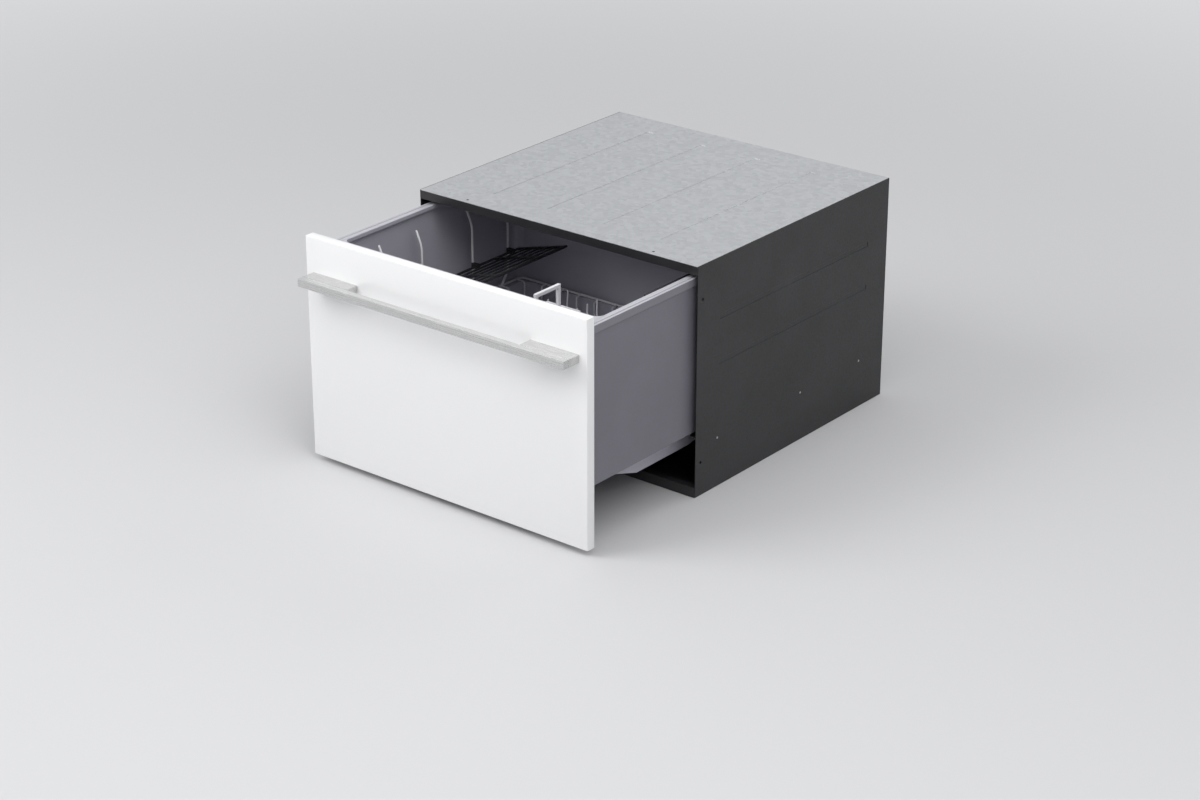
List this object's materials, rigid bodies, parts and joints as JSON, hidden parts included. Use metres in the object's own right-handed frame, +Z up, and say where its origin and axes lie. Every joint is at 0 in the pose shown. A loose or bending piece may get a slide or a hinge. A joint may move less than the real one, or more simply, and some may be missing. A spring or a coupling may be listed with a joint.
{
  "type": "dishwasher drawer",
  "caption": "Built-in pull-out dishwasher drawer: plain white front with a long flat steel handle, grey wash tub with wire racks, in a metal chassis.",
  "frame": {"origin": "underside of the base pan, at the middle of the chassis", "axes": "+X to the right seen from the front, +Y into the cabinet, +Z up"},
  "size_m": [0.598, 0.9025, 0.41],
  "materials": {
    "white_lacquer": "satin white lacquer on board",
    "brushed_stainless": "long brushed stainless steel",
    "galvanised": "galvanised sheet steel",
    "black_steel": "black powder coat",
    "runner_steel": "zinc plated steel",
    "tub_grey": "fine moulded polypropylene",
    "wire_coat": "smooth nylon coat on wire",
    "rack_plastic": "moulded plastic",
    "basket_plastic": "moulded plastic",
    "dark_plastic": "moulded plastic",
    "grey_plastic": "moulded plastic",
    "light_plastic": "moulded plastic",
    "lid_plastic": "moulded plastic",
    "black_rubber": "moulded rubber",
    "white_plastic": "moulded plastic",
    "orange_plastic": "moulded plastic",
    "motor_metal": "cast aluminium"
  },
  "bodies": {
    "chassis": {"base_pan": "black_steel", "side_panel_left": "black_steel", "side_panel_right": "black_steel", "back_panel": "galvanised", "top_panel": "galvanised", "front_sill": "black_steel", "front_crossbar": "black_steel", "runner_bracket_left": "black_steel", "runner_bracket_right": "black_steel", "runner_fixed_left": "runner_steel", "runner_fixed_right": "runner_steel", "chassis_screws": "runner_steel", "lid_guide_pins": "runner_steel", "lid_actuators": "dark_plastic", "inlet_valve": "white_plastic", "drain_spigot": "dark_plastic", "power_gland": "dark_plastic", "flood_sensor": "orange_plastic"},
    "drawer": {"tub": "tub_grey", "door_frame": "galvanised", "front_panel": "white_lacquer", "panel_brackets": "runner_steel", "handle_bar": "brushed_stainless", "handle_posts": "brushed_stainless", "handle_screws": "runner_steel", "runner_drawer_left": "runner_steel", "runner_drawer_right": "runner_steel", "sump": "dark_plastic", "wash_motor": "motor_metal", "drain_pump": "dark_plastic", "heater": "runner_steel", "filter_plate": "grey_plastic", "dispenser_body": "light_plastic", "control_strip": "dark_plastic", "control_box": "dark_plastic", "drying_fan": "dark_plastic", "rack_left": "wire_coat", "rack_right": "wire_coat", "link_hose": "black_rubber"},
    "lid": {"lid": "lid_plastic", "lid_seal": "black_rubber", "lid_lifters": "runner_steel"},
    "runner_mid_left": {"runner_mid_left": "runner_steel"},
    "runner_mid_right": {"runner_mid_right": "runner_steel"},
    "spray_arm": {"spray_arm": "grey_plastic"},
    "impeller": {"impeller": "grey_plastic"},
    "drain_filter": {"drain_filter": "grey_plastic"},
    "dispenser_lid": {"dispenser_lid": "rack_plastic"},
    "dispenser_latch": {"dispenser_latch": "light_plastic"},
    "rinse_cap": {"rinse_cap": "grey_plastic"},
    "power_button": {"power_button": "light_plastic"},
    "program_button": {"program_button": "light_plastic"},
    "start_button": {"start_button": "light_plastic"},
    "cup_rack_left": {"cup_rack_left": "rack_plastic"},
    "cup_rack_right": {"cup_rack_right": "rack_plastic"},
    "tine_row_left": {"tine_row_left": "wire_coat"},
    "tine_row_right": {"tine_row_right": "wire_coat"},
    "cutlery_basket": {"cutlery_basket": "basket_plastic"}
  },
  "joints": [
    {"name": "drawer_slide", "type": "slide", "parent": "chassis", "child": "drawer", "axis": [0, -1, 0], "range_m": [-0.262, 0.218], "deforming": ["link_hose"]},
    {"name": "runner_mid_left_slide", "type": "slide", "parent": "chassis", "child": "runner_mid_left", "axis": [0, -1, 0], "range_m": [-0.131, 0.109]},
    {"name": "runner_mid_right_slide", "type": "slide", "parent": "chassis", "child": "runner_mid_right", "axis": [0, -1, 0], "range_m": [-0.131, 0.109]},
    {"name": "lid_lift", "type": "slide", "parent": "chassis", "child": "lid", "axis": [0, 0, 1], "range_m": [-0.007, 0]},
    {"name": "spray_arm_spin", "type": "hinge", "parent": "drawer", "child": "spray_arm", "pos_m": [0, -0.3075, 0.12], "axis": [0, 0, 1], "continuous": true},
    {"name": "impeller_spin", "type": "hinge", "parent": "drawer", "child": "impeller", "pos_m": [0, -0.3075, 0.06], "axis": [0, 0, 1], "continuous": true},
    {"name": "drain_filter_twist", "type": "hinge", "parent": "drawer", "child": "drain_filter", "pos_m": [0.112, -0.3075, 0.075], "axis": [0, 0, 1], "range_deg": [0, 45]},
    {"name": "dispenser_lid_turn", "type": "hinge", "parent": "drawer", "child": "dispenser_lid", "pos_m": [-0.02, -0.5012, 0.275], "axis": [-1, 0, 0], "range_deg": [0, 95]},
    {"name": "dispenser_latch_slide", "type": "slide", "parent": "drawer", "child": "dispenser_latch", "axis": [0, 0, 1], "range_m": [0, 0.004], "stiffness_N_per_m": 120, "springref_m": -0.002},
    {"name": "rinse_cap_turn", "type": "hinge", "parent": "drawer", "child": "rinse_cap", "pos_m": [0.04, -0.5025, 0.304], "axis": [0, 1, 0], "range_deg": [0, 90]},
    {"name": "power_button_press", "type": "slide", "parent": "drawer", "child": "power_button", "axis": [0, 0, -1], "range_m": [0, 0.0015], "stiffness_N_per_m": 400, "springref_m": -0.001},
    {"name": "program_button_press", "type": "slide", "parent": "drawer", "child": "program_button", "axis": [0, 0, -1], "range_m": [0, 0.0015], "stiffness_N_per_m": 400, "springref_m": -0.001},
    {"name": "start_button_press", "type": "slide", "parent": "drawer", "child": "start_button", "axis": [0, 0, -1], "range_m": [0, 0.0015], "stiffness_N_per_m": 400, "springref_m": -0.001},
    {"name": "cup_rack_left_fold", "type": "hinge", "parent": "drawer", "child": "cup_rack_left", "pos_m": [-0.242, -0.2625, 0.258], "axis": [0, -1, 0], "range_deg": [0, 71]},
    {"name": "cup_rack_right_fold", "type": "hinge", "parent": "drawer", "child": "cup_rack_right", "pos_m": [0.242, -0.2125, 0.258], "axis": [0, -1, 0], "range_deg": [0, 77.5]},
    {"name": "tine_row_left_fold", "type": "hinge", "parent": "drawer", "child": "tine_row_left", "pos_m": [-0.11, -0.2625, 0.1513], "axis": [0, -1, 0], "range_deg": [0, 92]},
    {"name": "tine_row_right_fold", "type": "hinge", "parent": "drawer", "child": "tine_row_right", "pos_m": [0.178, -0.2625, 0.1513], "axis": [0, -1, 0], "range_deg": [0, 92]},
    {"name": "cutlery_basket_lift", "type": "slide", "parent": "drawer", "child": "cutlery_basket", "axis": [0, 0, 1], "range_m": [0, 0.2]}
  ],
  "couplings": [
    {"joint": "runner_mid_left_slide", "follows": "drawer_slide", "ratio": 0.5},
    {"joint": "runner_mid_right_slide", "follows": "drawer_slide", "ratio": 0.5}
  ]
}
